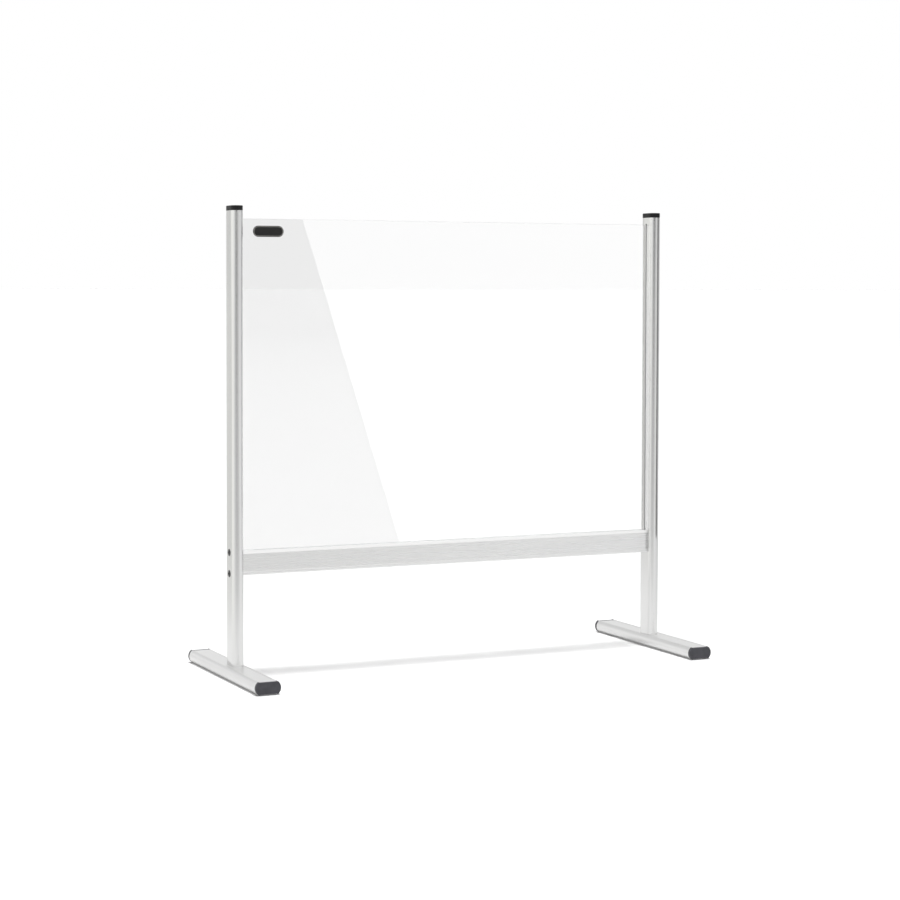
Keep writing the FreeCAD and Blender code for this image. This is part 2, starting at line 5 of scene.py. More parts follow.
import bpy
import numpy as np
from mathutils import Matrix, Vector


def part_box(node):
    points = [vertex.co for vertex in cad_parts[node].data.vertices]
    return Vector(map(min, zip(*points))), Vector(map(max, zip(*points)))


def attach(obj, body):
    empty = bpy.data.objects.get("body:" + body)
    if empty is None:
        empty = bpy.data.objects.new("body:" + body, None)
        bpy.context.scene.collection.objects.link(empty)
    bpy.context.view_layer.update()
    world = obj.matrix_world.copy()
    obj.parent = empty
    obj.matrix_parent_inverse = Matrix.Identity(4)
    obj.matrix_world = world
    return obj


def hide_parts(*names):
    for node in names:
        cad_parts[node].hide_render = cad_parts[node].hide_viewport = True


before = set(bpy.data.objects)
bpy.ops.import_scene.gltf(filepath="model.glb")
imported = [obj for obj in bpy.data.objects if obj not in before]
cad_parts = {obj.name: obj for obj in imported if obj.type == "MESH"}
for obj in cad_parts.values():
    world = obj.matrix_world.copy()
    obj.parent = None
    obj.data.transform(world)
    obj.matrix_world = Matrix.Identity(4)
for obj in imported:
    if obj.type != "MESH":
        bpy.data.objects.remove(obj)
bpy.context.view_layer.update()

# ---------------------------------------------------------------------------------------------
# Posts. Each is one aluminium extrusion, a 24 x 48 mm stadium section, satin anodised. A slot is
# milled in its inner face where the panel goes in, and it stops just above the panel.

MM = 0.001


def linear(code):
    """An sRGB hex colour as linear red, green, blue and alpha."""
    parts = np.array([int(code[i : i + 2], 16) / 255 for i in (1, 3, 5)])
    light = np.where(parts <= 0.04045, parts / 12.92, ((parts + 0.055) / 1.055) ** 2.4)
    return (*light.tolist(), 1.0)


def add(tree, kind, inputs=None, **settings):
    """Adds a node, with its settings, and its inputs as values or as links from other sockets."""
    made = tree.nodes.new(kind)
    for name, value in settings.items():
        setattr(made, name, value)
    for key, value in (inputs or {}).items():
        if isinstance(value, bpy.types.NodeSocket):
            tree.links.new(value, made.inputs[key])
        else:
            made.inputs[key].default_value = value
    return made


def blank(name):
    """A new material with only its output node."""
    made = bpy.data.materials.new(name)
    made.use_nodes = True
    made.node_tree.nodes.clear()
    return made, made.node_tree, made.node_tree.nodes.new("ShaderNodeOutputMaterial")


def anodised_extrusion(name, along, satin):
    """Anodised aluminium, extruded then etched and anodised: an even satin grey metal. The die leaves
    faint lines along the bar, and the etch a very fine grain over them."""
    # real die lines are about 0.2 mm apart, and are drawn at 1.6 mm so that they show; they run
    # along the bar for a length that is their spacing divided by the stretch
    die_line, stretch, etch = 1.6 * MM, 0.004, 0.5 * MM
    low_noise, high_noise, rough_spread = 0.3, 0.7, 0.04
    made, tree, out = blank(name)
    place = add(tree, "ShaderNodeTexCoord").outputs["Object"]
    scale = [stretch / die_line if axis == along else 1 / die_line for axis in "xyz"]
    lines = add(tree, "ShaderNodeMapping", {"Vector": place, "Scale": scale})
    drawn = add(
        tree, "ShaderNodeTexNoise", {"Vector": lines.outputs[0], "Scale": 1.0, "Detail": 3.0}
    )
    grain = add(
        tree, "ShaderNodeTexNoise", {"Vector": place, "Scale": 1 / etch, "Detail": 2.0}
    )
    tone = add(tree, "ShaderNodeValToRGB", {"Fac": drawn.outputs[0]})
    tone.color_ramp.elements[0].position = low_noise
    tone.color_ramp.elements[1].position = high_noise
    tone.color_ramp.elements[0].color = linear("#d8d8d8")
    tone.color_ramp.elements[1].color = linear("#dbdbda")
    rough = add(
        tree,
        "ShaderNodeMapRange",
        {
            "Value": drawn.outputs[0],
            "From Min": low_noise,
            "From Max": high_noise,
            "To Min": satin,
            "To Max": satin + rough_spread,
        },
    )
    height = add(
        tree, "ShaderNodeMath", {0: drawn.outputs[0], 1: grain.outputs[0]}, operation="ADD"
    )
    bump = add(
        tree,
        "ShaderNodeBump",
        {"Height": height.outputs[0], "Strength": 0.02, "Distance": 0.03 * MM},
    )
    shader = add(
        tree,
        "ShaderNodeBsdfPrincipled",
        {
            "Base Color": tone.outputs[0],
            "Metallic": 1.0,
            "Roughness": rough.outputs[0],
            "Normal": bump.outputs[0],
        },
    )
    tree.links.new(shader.outputs[0], out.inputs["Surface"])
    return made


def ring(outline, along, axis):
    """A flat outline, anticlockwise about the axis, set at a distance along it. The axis is z, x, or
    front, which is towards -Y."""
    u, v = outline.T
    w = np.full(len(outline), float(along))
    return np.stack({"z": (u, v, w), "x": (w, u, v), "front": (u, -w, v)}[axis], -1)


def skin(name, rings, material, sharp=35):
    """A closed shell through rings of points: quads join each ring to the next, and a fan of triangles
    closes the first ring and the last onto their middle."""
    rings = np.array(rings, float)
    count, around = rings.shape[:2]
    ids = np.arange(count * around).reshape(count, around)
    after = np.roll(ids, -1, 1)
    quads = np.stack([ids[:-1], after[:-1], after[1:], ids[1:]], -1).reshape(-1, 4)
    low = np.full(around, count * around)
    first = np.stack([after[0], ids[0], low], -1)
    last = np.stack([ids[-1], after[-1], low + 1], -1)
    mesh = bpy.data.meshes.new(name)
    points = np.vstack([rings.reshape(-1, 3), rings[[0, -1]].mean(1)])
    mesh.from_pydata(points, [], quads.tolist() + first.tolist() + last.tolist())
    mesh.shade_smooth()
    mesh.set_sharp_from_angle(angle=math.radians(sharp))
    mesh.materials.append(material)
    made = bpy.data.objects.new(name, mesh)
    bpy.context.scene.collection.objects.link(made)
    return made


def stadium(width, depth, count=96):
    """A slot-shaped outline, long way along v: a circle of radius width / 2 whose halves are moved
    apart by half of depth - width."""
    angle = (np.arange(count) + 0.5) * 2 * np.pi / count
    radius = width / 2
    u, v = radius * np.cos(angle), radius * np.sin(angle)
    return np.stack([u, v + np.sign(v) * (depth / 2 - radius)], -1)


# the right-hand pieces are the left-hand ones turned half round
sides = {"left": 1, "right": -1}
rail_low, rail_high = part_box("bottom_rail")
panel_low, panel_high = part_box("screen_panel")
# the posts are the glossiest of the extrusions, and show the room as soft upright bands
post_metal = anodised_extrusion("anodised_aluminium_extruded_post", "z", 0.17)
slot_half, slot_bevel, slot_deep, slot_end = 2.75 * MM, 0.25 * MM, 7.9 * MM, 1.5 * MM
slot_lip, post_wall = slot_half + slot_bevel, 1.8 * MM
# where the slot's six points lie across it once it is shut flat, as shares of their open places
shut_shares = (1, 1, 0.7, 0.7, 1, 1)

for side, turn in sides.items():
    low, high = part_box(f"{side}_post")
    middle = (low + high) / 2
    width, depth = high.x - low.x, high.y - low.y
    face = width / 2
    closed = stadium(width, depth)
    floor_u = face - post_wall - slot_deep
    # the points from the front to the back edge of the slot, shut flat and cut open
    v = np.array([-slot_lip, -slot_half, -slot_half, slot_half, slot_half, slot_lip])
    shut = np.stack([np.full(len(v), face), v * shut_shares], -1)
    cut = np.stack([[face, face - slot_bevel, floor_u, floor_u, face - slot_bevel, face], v], -1)
    start = len(closed) // 2
    loop = np.roll(closed, start, 0)
    plain = np.vstack([loop[:start], shut, loop[start:]])
    slotted = np.vstack([loop[:start], cut, loop[start:]])
    levels = [
        (plain, low.z),
        (plain, rail_high.z - slot_end),
        (slotted, rail_high.z - slot_end),
        (slotted, panel_high.z + slot_end),
        (plain, panel_high.z + slot_end),
        (plain, high.z),
    ]
    rings = [ring(outline, z, "z") for outline, z in levels]
    rings = np.array(rings) * (turn, turn, 1) + (middle.x, middle.y, 0)
    post = skin(f"{side}_post_extrusion", rings, post_metal)
    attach(post, "root")
    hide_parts(f"{side}_post")

# ---------------------------------------------------------------------------------------------
# Post caps. Each is a black moulded plug pushed into the top of its post. The flange has the
# post's own outline, a rounded top edge and a shallow crown, and sits on a thin shadow gap.


def moulded(name, dark, pale, roughness, grain, sheen=0.5):
    """Plastic or rubber with the fine even grain of its mould or die: the grain breaks up its gloss,
    whose strength is the sheen, and its colour clouds very slightly over areas 20 grains wide."""
    cloudy, rough_spread = 20 * grain, 0.08
    made, tree, out = blank(name)
    place = add(tree, "ShaderNodeTexCoord").outputs["Object"]
    speck = add(tree, "ShaderNodeTexNoise", {"Vector": place, "Scale": 1 / grain, "Detail": 4.0})
    cloud = add(tree, "ShaderNodeTexNoise", {"Vector": place, "Scale": 1 / cloudy})
    tone = add(tree, "ShaderNodeValToRGB", {"Fac": cloud.outputs[0]})
    tone.color_ramp.elements[0].position = 0.35
    tone.color_ramp.elements[1].position = 0.65
    tone.color_ramp.elements[0].color = linear(dark)
    tone.color_ramp.elements[1].color = linear(pale)
    rough = add(
        tree,
        "ShaderNodeMapRange",
        {
            "Value": speck.outputs[0],
            "To Min": roughness - rough_spread,
            "To Max": roughness + rough_spread,
        },
    )
    bump = add(
        tree, "ShaderNodeBump", {"Height": speck.outputs[0], "Strength": 0.35, "Distance": 0.08 * MM}
    )
    shader = add(
        tree,
        "ShaderNodeBsdfPrincipled",
        {
            "Base Color": tone.outputs[0],
            "Roughness": rough.outputs[0],
            "IOR": 1.5,
            "Specular IOR Level": sheen,
            "Normal": bump.outputs[0],
        },
    )
    tree.links.new(shader.outputs[0], out.inputs["Surface"])
    return made


def inset(outline, distance):
    """An anticlockwise outline moved inwards: each point goes along the mean of the normals of the
    two sides that meet there."""
    ahead = np.roll(outline, -1, 0) - outline
    ahead /= np.linalg.norm(ahead, axis=1, keepdims=True)
    turned = ahead + np.roll(ahead, 1, 0)
    turned /= np.linalg.norm(turned, axis=1, keepdims=True)
    return outline + np.stack([-turned[:, 1], turned[:, 0]], -1) * distance


# polypropylene: almost black, with a weak broad gloss
black_cap = moulded("moulded_black_polypropylene", "#060606", "#0b0b0c", 0.5, 0.5 * MM, sheen=0.25)
cap_edge, cap_gap, cap_crown, cap_flange = 1.3 * MM, 0.35 * MM, 0.5 * MM, 10 * MM
# the angles round a cap's edge, and the shares of its outline that the crown's rings have
edge_turn, crown_shares = np.linspace(0, np.pi / 2, 9), np.linspace(0.9, 0.1, 9)

for side in sides:
    low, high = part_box(f"{side}_post_cap")
    middle = (low + high) / 2
    outline = stadium(high.x - low.x, high.y - low.y)
    foot_z, shoulder = high.z - cap_flange, high.z - cap_crown - cap_edge
    levels = [(cap_gap, foot_z), (cap_gap, foot_z + cap_gap), (0, foot_z + 2 * cap_gap)]
    levels += [(cap_edge * (1 - math.cos(a)), shoulder + cap_edge * math.sin(a)) for a in edge_turn]
    rings = [ring(inset(outline, d), z, "z") for d, z in levels]
    top = inset(outline, cap_edge)
    # the crown: the outline shrinks evenly to the middle while its height rises as a parabola
    for share in crown_shares:
        rings.append(ring(top * share, high.z - cap_crown * share**2, "z"))
    rings = np.array(rings) + (middle.x, middle.y, 0)
    cap = skin(f"{side}_post_top_cap", rings, black_cap)
    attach(cap, "root")
    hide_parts(f"{side}_post_cap")

# ---------------------------------------------------------------------------------------------
# Feet. Each is an aluminium extrusion 50 mm wide and 25 mm high, with round sides and a shallow
# channel above and below. The post stands in the upper channel and is bolted from underneath.


def rounded(corners, radii, steps=6):
    """A closed outline whose corners are turned by arcs: an arc's centre is on the corner's bisector,
    radius / sin(half the angle) from it, and the arc runs between the two points of tangency. Beyond
    a plain corner's arc, one more point on either side keeps the flats flat when they are smoothed."""
    plain_turn, hold = math.radians(20), 0.05 * MM
    p = np.array(corners, float)
    r = np.broadcast_to(np.array(radii, float), len(p))[:, None]
    u, v = np.roll(p, 1, 0) - p, np.roll(p, -1, 0) - p
    u /= np.linalg.norm(u, axis=1, keepdims=True)
    v /= np.linalg.norm(v, axis=1, keepdims=True)
    half = np.arccos(np.clip((u * v).sum(1), -1, 1))[:, None] / 2
    centre = p + (u + v) / np.linalg.norm(u + v, axis=1, keepdims=True) * r / np.sin(half)
    a, b = p + u * r / np.tan(half) - centre, p + v * r / np.tan(half) - centre
    sweep = (np.pi - 2 * half)[:, :, None]
    s = np.linspace(0, 1, steps)[None, :, None]
    arc = (np.sin((1 - s) * sweep) * a[:, None] + np.sin(s * sweep) * b[:, None]) / np.sin(sweep)
    extra = np.where(sweep > plain_turn, hold, 0)
    before, beyond = a[:, None] + u[:, None] * extra, b[:, None] + v[:, None] * extra
    loop = (centre[:, None] + np.concatenate([before, arc, beyond], 1)).reshape(-1, 2)
    return loop[np.linalg.norm(loop - np.roll(loop, 1, 0), axis=1) > hold / 10]


def foot_outline(width, height):
    """The foot's section about its middle: two side arcs, joined above and below by a channel whose
    lips and corners are rounded."""
    half_w, half_h = width / 2, height / 2
    # the lips stand this far out from the middle, and the channel's sides slope in from them
    crest, channel_deep, slope = 18 * MM, 1.3 * MM, 0.9 * MM
    lip_round, root_round, arc_round = 0.9 * MM, 0.7 * MM, 0.2 * MM
    # a side arc stops short of the lip, to leave room for the lip's own rounding
    arc_share = 0.84
    radius = ((half_w - crest) ** 2 + half_h**2) / (2 * (half_w - crest))
    reach = math.asin(half_h / radius)
    angle = np.linspace(-reach * arc_share, reach * arc_share, 25)
    arc = np.stack([half_w - radius + radius * np.cos(angle), radius * np.sin(angle)], -1)
    lips = [(crest, half_h), (crest - slope, half_h - channel_deep)]
    upper = np.array(lips + [(-u, v) for u, v in lips[::-1]])
    corners = np.vstack([arc, upper, -arc, -upper])
    radii = [arc_round] * len(arc) + [lip_round, root_round, root_round, lip_round]
    return rounded(corners, radii * 2, steps=4)


# the feet are the most matt of the extrusions, so their tops shade evenly
foot_metal = anodised_extrusion("anodised_aluminium_extruded_foot", "y", 0.31)
foot_height, foot_saw = 25 * MM, 0.25 * MM

for side in sides:
    low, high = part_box(f"{side}_foot")
    middle = (low + high) / 2
    outline = foot_outline(high.x - low.x, foot_height)
    # both sawn ends have a fine bevel
    levels = [(foot_saw, -high.y), (0, -high.y + foot_saw)]
    levels += [(0, -low.y - foot_saw), (foot_saw, -low.y)]
    rings = [ring(inset(outline, d), w, "front") for d, w in levels]
    rings = np.array(rings) + (middle.x, 0, middle.z)
    foot = skin(f"{side}_foot_extrusion", rings, foot_metal)
    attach(foot, "root")
    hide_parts(f"{side}_foot")

# ---------------------------------------------------------------------------------------------
# End caps. Charcoal plastic, moulded, pushed into both ends of each foot. Their outline is the
# foot's own, with a softly rounded outer edge and a very slightly crowned face.

# nylon: a dark grey with a hint of blue, and a dull even surface
charcoal = moulded("moulded_charcoal_nylon", "#333338", "#3d3d42", 0.55, 0.6 * MM)
end_edge, end_gap, end_crown, end_flange = 0.7 * MM, 0.3 * MM, 0.3 * MM, 8 * MM

for side in sides:
    for end, way in (("front", 1), ("rear", -1)):
        node = f"{side}_foot_{end}_cap"
        low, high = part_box(node)
        middle = (low + high) / 2
        outline = foot_outline(high.x - low.x, foot_height)
        face = max(-low.y * way, -high.y * way)
        start, shoulder = face - end_flange, face - end_crown - end_edge
        levels = [(end_gap, start), (end_gap, start + end_gap), (0, start + 2 * end_gap)]
        levels += [(end_edge * (1 - math.cos(a)), shoulder + end_edge * math.sin(a)) for a in edge_turn]
        rings = [ring(inset(outline, d), w, "front") for d, w in levels]
        top = inset(outline, end_edge)
        for share in crown_shares:
            rings.append(ring(top * share, face - end_crown * share**2, "front"))
        rings = np.array(rings) * (way, way, 1) + (middle.x, 0, middle.z)
        cap = skin(f"{node}_moulding", rings, charcoal)
        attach(cap, "root")
        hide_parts(node)

# ---------------------------------------------------------------------------------------------
# Pads. Two black rubber pads are stuck in the channel under each foot. They hold the foot a
# millimetre off the table, and oval ribs on their undersides stop it from sliding.

# rubber: black, and nearly without gloss
pad_rubber = moulded("moulded_black_rubber", "#0d0d0d", "#171717", 0.75, 0.7 * MM)
pad_length, pad_edge = 60 * MM, 0.3 * MM
rib_pitch, rib_deep, rib_count = 1.6 * MM, 0.5 * MM, 7
# a rib from its inner root over its tread to its outer root: shares of the pitch, and heights
rib_shape = ((0.75, rib_deep), (0.55, 0), (0.2, 0), (0.0, rib_deep))


def joined(pieces, name):
    """Some pieces as one: the meshes of the others are added to the first, which is renamed."""
    with bpy.context.temp_override(
        active_object=pieces[0], selected_editable_objects=pieces, object=pieces[0]
    ):
        bpy.ops.object.join()
    pieces[0].name = name
    return pieces[0]


for side in sides:
    low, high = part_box(f"{side}_foot_pads")
    middle = (low + high) / 2
    outline = stadium(high.x - low.x, pad_length, 64)
    # from the middle of the underside out over its ribs, then up the edge and over the top
    rings = []
    for step in range(rib_count, 0, -1):
        for share, z in rib_shape:
            inwards = rib_pitch * (step - 1 + share) + pad_edge
            rings.append(ring(inset(outline, inwards), low.z + z, "z"))
    rings.append(ring(outline, low.z + rib_deep + pad_edge, "z"))
    rings.append(ring(outline, high.z, "z"))
    pair = []
    for spot in (low.y + pad_length / 2, high.y - pad_length / 2):
        placed = np.array(rings) + (middle.x, spot, 0)
        pair.append(skin(f"{side}_pad_{len(pair)}", placed, pad_rubber))
    pads = joined(pair, f"{side}_foot_grip_pads")
    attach(pads, "root")
    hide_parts(f"{side}_foot_pads")

# ---------------------------------------------------------------------------------------------
# Rail. One aluminium extrusion across the screen, screwed between the posts. Its front and back
# have a rounded lip above and below a flat recess; the panel drops into the slot on its top.

# the rail lies between the posts and the feet in gloss
rail_metal = anodised_extrusion("anodised_aluminium_extruded_rail", "x", 0.26)
lip, recess, glazing, screw_channel = 6.5 * MM, 1.5 * MM, 11 * MM, 6.5 * MM
deep, tall = (rail_high.y - rail_low.y) / 2, (rail_high.z - rail_low.z) / 2
# the lower lip is crowned, and the upper lip leans back a little
crown, lean = 0.4 * MM, 1.3 * MM
edge_round, crown_round, inner_round = 0.5 * MM, 5 * MM, 0.25 * MM
# one half of the section, from the bottom up and down into the panel's slot, with corner radii
half_section = [
    (deep - crown, -tall, edge_round),
    (deep, -tall + lip / 2, crown_round),
    (deep - crown, -(tall - lip), edge_round),
    (deep - recess, -(tall - lip), inner_round),
    (deep - recess, tall - lip, inner_round),
    (deep, tall - lip, edge_round),
    (deep - lean, tall, edge_round),
    (slot_half, tall, inner_round),
    (slot_half, tall - glazing, inner_round),
]
# and the channel underneath that takes the lower screws
under = [(-slot_half, -tall, inner_round), (-slot_half, -tall + screw_channel, inner_round)]
section = half_section + [(-u, v, r) for u, v, r in half_section[::-1]]
section = np.array(section + under + [(-u, v, r) for u, v, r in under[::-1]])
outline = rounded(section[:, :2], section[:, 2])
rings = np.array([ring(outline, x, "x") for x in (rail_low.x, rail_high.x)])
rings = rings + (0, 0, (rail_low.z + rail_high.z) / 2)
rail = skin("bottom_rail_extrusion", rings, rail_metal)
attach(rail, "root")
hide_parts("bottom_rail")

# ---------------------------------------------------------------------------------------------
# Panel. A 4 mm sheet of cast acrylic, sawn to size, with lightly chamfered edges. Its bottom
# corners are notched to clear the rail's upper screws, down inside the rail.


def cast_acrylic(name, tint, rough_least, rough_most):
    """Cast acrylic sheet: clear and glossy, with the very slight waviness that casting leaves. Its
    edges are sawn and only flame-polished, so they are duller than its faces."""
    made, tree, out = blank(name)
    place = add(tree, "ShaderNodeTexCoord").outputs["Object"]
    wave, film = 180 * MM, 30 * MM
    swell = add(tree, "ShaderNodeTexNoise", {"Vector": place, "Scale": 1 / wave, "Detail": 0.0})
    touch = add(tree, "ShaderNodeTexNoise", {"Vector": place, "Scale": 1 / film, "Detail": 3.0})
    rough = add(
        tree,
        "ShaderNodeMapRange",
        {"Value": touch.outputs[0], "To Min": rough_least, "To Max": rough_most},
    )
    bump = add(
        tree, "ShaderNodeBump", {"Height": swell.outputs[0], "Strength": 0.05, "Distance": 1 * MM}
    )
    shader = add(
        tree,
        "ShaderNodeBsdfPrincipled",
        {
            "Base Color": linear(tint),
            "Roughness": rough.outputs[0],
            "IOR": 1.49,
            "Transmission Weight": 1.0,
            "Normal": bump.outputs[0],
        },
    )
    tree.links.new(shader.outputs[0], out.inputs["Surface"])
    return made


notch_long, notch_high, corner_round = 37.5 * MM, 10.05 * MM, 0.8 * MM
half_w, bottom, top = panel_high.x, panel_low.z, panel_high.z
# the right-hand half of the outline, from its notch up
right = [(half_w - notch_long, bottom), (half_w - notch_long, bottom + notch_high)]
right += [(half_w, bottom + notch_high), (half_w, top)]
outline = rounded(right + [(-u, v) for u, v in right[::-1]], corner_round)
chamfer, half_t = 0.5 * MM, panel_high.y
levels = [(chamfer, -half_t), (0, chamfer - half_t), (0, half_t - chamfer), (chamfer, half_t)]
rings = [ring(inset(outline, d), w, "front") for d, w in levels]
# the faces are almost colourless, and the sawn edge is greyer and blurs what is behind it
clear_face = cast_acrylic("cast_acrylic_polished", "#eeeeee", 0.0, 0.03)
panel = skin("clear_panel", rings, clear_face, sharp=20)
panel.data.materials.append(cast_acrylic("cast_acrylic_sawn_edge", "#c4c8c8", 0.3, 0.5))
# the first three rows of quads are the sawn edge and the chamfers on either side of it
slots = np.zeros(len(panel.data.polygons), np.int32)
slots[: 3 * len(outline)] = 1
panel.data.polygons.foreach_set("material_index", slots)
# light goes through the clear sheet undimmed
panel.visible_shadow = False
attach(panel, "root")
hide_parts("screen_panel")

# ---------------------------------------------------------------------------------------------
# Seals. Thin pale grey rubber channels, extruded, pushed over the panel's two upright edges and its
# bottom edge. Inside the slots of the posts and the rail, they hold the panel tight.

# seal rubber: pale grey and matt, so that it hardly shows beside the clear panel
seal_rubber = moulded("extruded_grey_seal_rubber", "#d8d9da", "#e0e1e1", 0.6, 0.4 * MM)
seal_wall = 0.75 * MM


def seal_outline(half, wall, floor, lip_end):
    """A U-shaped section, open towards +u, with softly rounded lips: the upper half's corners and
    their radii, and the same ones mirrored below."""
    lip_round, root_round = 0.3 * MM, 0.1 * MM
    upper = [
        (floor, half - wall, root_round),
        (lip_end, half - wall, lip_round),
        (lip_end, half, lip_round),
        (floor - wall, half, lip_round),
    ]
    corners = np.array([(u, -v, r) for u, v, r in upper[::-1]] + upper)
    return rounded(corners[:, :2], corners[:, 2], 4)


for side, turn in sides.items():
    low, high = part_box(f"{side}_slot_seal")
    back, lip_end = (low.x, high.x) if turn == 1 else (-high.x, -low.x)
    outline = seal_outline(high.y, seal_wall, back + seal_wall, lip_end)
    rings = np.array([ring(outline, z, "z") for z in (low.z, high.z)]) * (turn, turn, 1)
    seal = skin(f"{side}_panel_seal", rings, seal_rubber)
    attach(seal, "root")
    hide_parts(f"{side}_slot_seal")

low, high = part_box("rail_slot_seal")
outline = seal_outline(high.y, seal_wall, low.z + seal_wall, high.z)
# the same section stood on end: its open side faces up
outline = np.stack([-outline[:, 1], outline[:, 0]], -1)
seal = skin("rail_panel_seal", [ring(outline, x, "x") for x in (low.x, high.x)], seal_rubber)
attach(seal, "root")
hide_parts("rail_slot_seal")

# ---------------------------------------------------------------------------------------------
# Rail screws. Black M6 screws with a wide low head and a hexagon socket, two in the outer face
# of each post. They run through the post into the end of the rail.


def finished_steel(name, dark, pale, coat):
    """Steel with a chemical finish: black oxide, lightly oiled, gives near black with a soft metal
    sheen, and zinc plating a cloudy pale grey with no oil on it."""
    crystals = 1.5 * MM
    made, tree, out = blank(name)
    place = add(tree, "ShaderNodeTexCoord").outputs["Object"]
    bloom = add(tree, "ShaderNodeTexNoise", {"Vector": place, "Scale": 1 / crystals, "Detail": 4.0})
    tone = add(tree, "ShaderNodeValToRGB", {"Fac": bloom.outputs[0]})
    tone.color_ramp.elements[0].color = linear(dark)
    tone.color_ramp.elements[1].color = linear(pale)
    rough = add(
        tree, "ShaderNodeMapRange", {"Value": bloom.outputs[0], "To Min": 0.32, "To Max": 0.5}
    )
    bump = add(
        tree,
        "ShaderNodeBump",
        {"Height": bloom.outputs[0], "Strength": 0.2, "Distance": 0.02 * MM},
    )
    shader = add(
        tree,
        "ShaderNodeBsdfPrincipled",
        {
            "Base Color": tone.outputs[0],
            "Metallic": 1.0,
            "Roughness": rough.outputs[0],
            "Coat Weight": coat,
            "Coat Roughness": 0.12,
            "Normal": bump.outputs[0],
        },
    )
    tree.links.new(shader.outputs[0], out.inputs["Surface"])
    return made


# black oxide: near black, with a thin coat of oil
oxide = finished_steel("black_oxide_steel", "#141414", "#2a2a2b", 1.0)
head_radius, head_high, flange_thick, shank_radius = 7 * MM, 1.6 * MM, 0.6 * MM, 2.75 * MM
key_flat, key_deep, key_bevel, rim = 2.1 * MM, 1.3 * MM, 0.25 * MM, 2.9 * MM
# the flange is this wide round the dome; its edge is sloped above and eased below
flange_wide, flange_slope, flange_share, flange_ease = 1.1 * MM, 0.25 * MM, 0.6, 0.1 * MM
tip_long, tip_in = 1 * MM, 0.9 * MM
segments = 72
angle = np.arange(segments) * 2 * np.pi / segments
round_ray = np.stack([np.cos(angle), np.sin(angle)], -1)
# a hexagon's radius: its half width over the cosine of the angle from the nearest flat
flat_angle = (angle + np.pi / 6) % (np.pi / 3) - np.pi / 6
hexagon = round_ray * (key_flat / np.cos(flat_angle))[:, None]
dome = np.linspace(0, 1, 11)
# the head's dome: a quarter of an ellipse from the socket's rim out to the flange
dome_radius = rim + (head_radius - flange_wide - rim) * np.sin(dome * np.pi / 2)
dome_height = flange_thick + (head_high - flange_thick) * np.cos(dome * np.pi / 2)

for side, turn in sides.items():
    low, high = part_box(f"{side}_rail_screws")
    reach = high.x - low.x
    # from the bottom of the socket over the head and down the shank, by depth below the head's top
    levels = [(hexagon, key_deep), (hexagon, key_bevel), (round_ray * rim, 0)]
    levels += [(round_ray * r, head_high - h) for r, h in zip(dome_radius[1:], dome_height[1:])]
    levels += [
        (round_ray * (head_radius - flange_slope), head_high - flange_thick),
        (round_ray * head_radius, head_high - flange_thick * flange_share),
        (round_ray * head_radius, head_high - flange_ease),
        (round_ray * (head_radius - flange_ease), head_high),
        (round_ray * shank_radius, head_high),
        (round_ray * shank_radius, reach - tip_long),
        (round_ray * (shank_radius - tip_in), reach),
    ]
    rings = np.array([ring(outline, w, "x") for outline, w in levels])
    outer = low.x if turn == 1 else high.x
    pair = []
    for z in (low.z + head_radius, high.z - head_radius):
        placed = rings * (turn, turn, 1) + (outer, 0, z)
        pair.append(skin(f"{side}_screw_{len(pair)}", placed, oxide))
    screws = joined(pair, f"{side}_button_screws")
    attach(screws, "root")
    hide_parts(f"{side}_rail_screws")

# ---------------------------------------------------------------------------------------------
# Foot bolts and washers. Zinc-plated steel, inside the feet: each bolt goes up through the foot's
# top wall into a screw port of the post. The design's own shapes are kept.

# zinc plating: pale grey and dry
zinc = finished_steel("zinc_plated_steel", "#a9adb0", "#c4c6c4", 0.0)

for side in sides:
    for node in (f"{side}_foot_bolts", f"{side}_foot_washers"):
        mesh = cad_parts[node].data
        mesh.materials.clear()
        mesh.materials.append(zinc)

# ---------------------------------------------------------------------------------------------
# Badge. A small slot-shaped plate of near-black resin stuck on the front of the panel. It is left
# plain but for a thin pale line set in from its edge.

# cast resin: a warm near black, smoother than the caps; the printed line is a flat pale grey
badge_black = moulded("cast_resin_near_black", "#0e0d0c", "#141312", 0.4, 0.5 * MM, sheen=0.3)
badge_line = moulded("printed_pale_grey_line", "#b9b8b2", "#c6c5bf", 0.4, 0.5 * MM)
low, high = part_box("corner_badge")
middle = (low + high) / 2
outline = stadium(high.z - low.z, high.x - low.x)
outline = np.stack([outline[:, 1], -outline[:, 0]], -1)
thick = high.y - low.y
line_in, line_wide, round_edge = 1.5 * MM, 0.5 * MM, 0.3 * MM
# the plate's face is faintly crowned: its edge and the line's two sides lie this far below its top
edge_drop, line_drop, field_drop = 0.1 * MM, 0.05 * MM, 0.04 * MM
levels = [(0, 0), (0, thick - round_edge - edge_drop)]
levels += [
    (round_edge * (1 - math.cos(a)), thick - edge_drop - round_edge * (1 - math.sin(a)))
    for a in edge_turn[1:]
]
line_row = len(levels)
levels += [(line_in, thick - line_drop), (line_in + line_wide, thick - field_drop)]
rings = [ring(inset(outline, d), w, "front") for d, w in levels]
inner = inset(outline, line_in + line_wide)
for share in (0.6, 0.2):
    rings.append(ring(inner * share, thick - field_drop * share, "front"))
badge = skin("corner_badge_plate", np.array(rings) + (middle.x, high.y, middle.z), badge_black)
badge.data.materials.append(badge_line)
slots = np.zeros(len(badge.data.polygons), np.int32)
around = len(outline)
slots[line_row * around : (line_row + 1) * around] = 1
badge.data.polygons.foreach_set("material_index", slots)
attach(badge, "root")
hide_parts("corner_badge")

# ---------------------------------------------------------------------------------------------
# Stage. A white table under a large soft lamp, in a pale room whose grey and white cards the satin
# metal shows as upright bands. One more card is lit for the panel alone, which mirrors it as a
# brighter part with a slanting edge.


